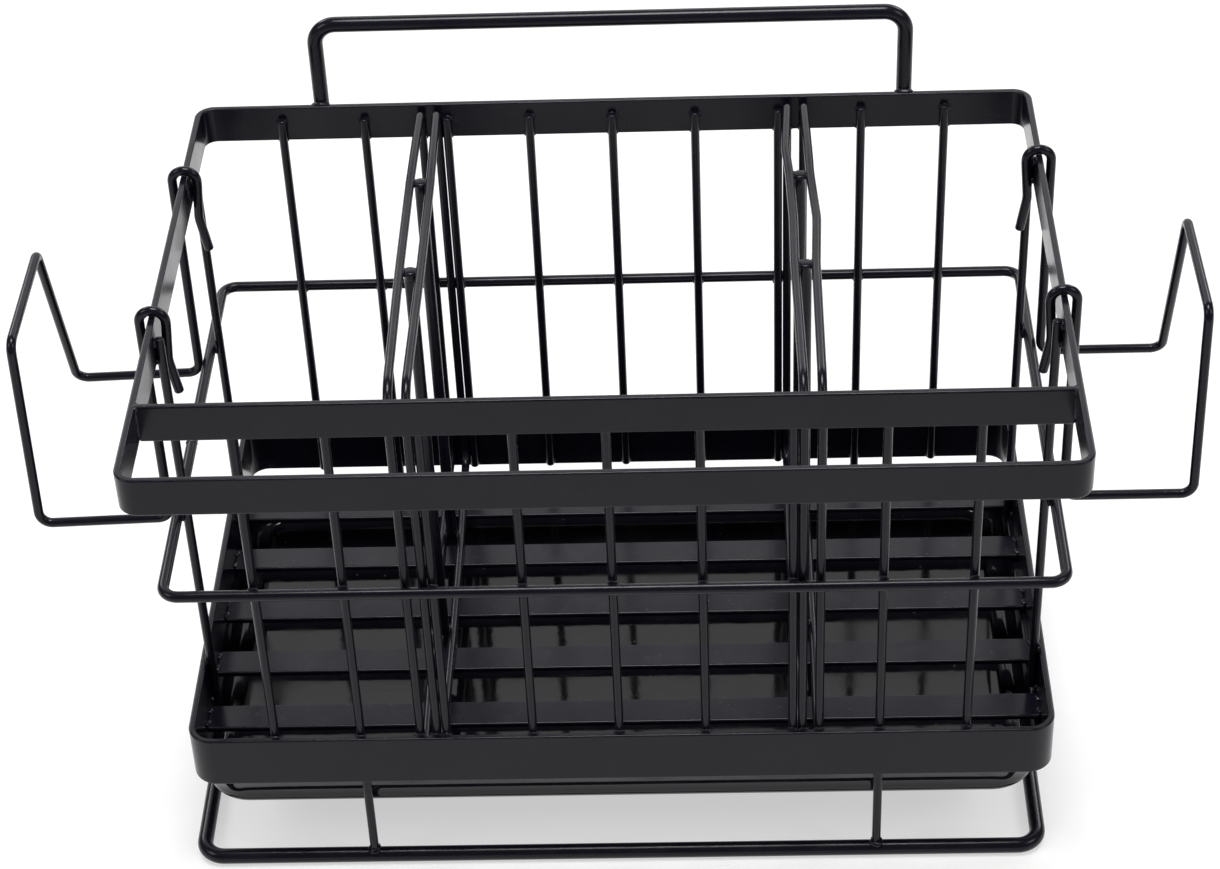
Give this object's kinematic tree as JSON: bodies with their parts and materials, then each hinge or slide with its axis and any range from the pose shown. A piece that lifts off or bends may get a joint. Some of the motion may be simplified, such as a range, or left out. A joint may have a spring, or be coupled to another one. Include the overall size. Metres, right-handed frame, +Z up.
{
  "type": "dish drying rack",
  "caption": "Flat-bar and wire basket with upright dividers, a narrow front pocket, a rear rail, a drip tray that slides out sideways and hook-on side hangers.",
  "frame": {"origin": "on the table, in the middle of the overall footprint", "axes": "+X to the right along the rack's length, +Y towards the back, +Z up"},
  "size_m": [0.3591, 0.197, 0.2198],
  "materials": {
    "flat_bar": "black satin powder coat on flat steel bar",
    "wire": "black satin powder coat on steel wire",
    "heavy_wire": "black satin powder coat on heavier steel wire",
    "hanger": "black satin powder coat on bent steel wire",
    "tray": "high-gloss black moulded plastic"
  },
  "bodies": {
    "rack": {"top_band": "flat_bar", "pocket_bar": "flat_bar", "bottom_band": "flat_bar", "floor_slat_1": "flat_bar", "floor_slat_2": "flat_bar", "floor_slat_3": "flat_bar", "floor_slat_4": "flat_bar", "floor_slat_5": "flat_bar", "front_upright_1": "wire", "front_upright_2": "wire", "front_upright_3": "wire", "front_upright_4": "wire", "front_upright_5": "wire", "front_upright_6": "wire", "front_upright_7": "wire", "front_upright_8": "wire", "front_upright_9": "wire", "rear_upright_1": "wire", "rear_upright_2": "wire", "rear_upright_3": "wire", "rear_upright_4": "wire", "rear_upright_5": "wire", "rear_upright_6": "wire", "rear_upright_7": "wire", "rear_upright_8": "wire", "rear_upright_9": "wire", "side_upright_left_front": "wire", "side_upright_left_rear": "wire", "side_upright_right_front": "wire", "side_upright_right_rear": "wire", "divider_left_inner_loop": "wire", "divider_left_outer_loop": "wire", "divider_right_inner_loop": "wire", "divider_right_outer_loop": "wire", "divider_left_front_bar": "wire", "divider_left_rear_bar": "wire", "divider_right_front_bar": "wire", "divider_right_rear_bar": "wire", "middle_hoop": "wire", "tray_rail_front": "wire", "tray_rail_rear": "wire", "rear_rail": "heavy_wire", "foot_ring": "heavy_wire"},
    "tray": {"drip_tray": "tray"},
    "hanger_left": {"left_hanger": "hanger"},
    "hanger_right": {"right_hanger": "hanger"}
  },
  "joints": [
    {"name": "tray_slide", "type": "slide", "parent": "rack", "child": "tray", "axis": [1, 0, 0], "range_m": [-0.28, 0.28]},
    {"name": "left_hanger_lift", "type": "slide", "parent": "rack", "child": "hanger_left", "axis": [0, 0, 1], "range_m": [0, 0.12]},
    {"name": "right_hanger_lift", "type": "slide", "parent": "rack", "child": "hanger_right", "axis": [0, 0, 1], "range_m": [0, 0.12]}
  ]
}
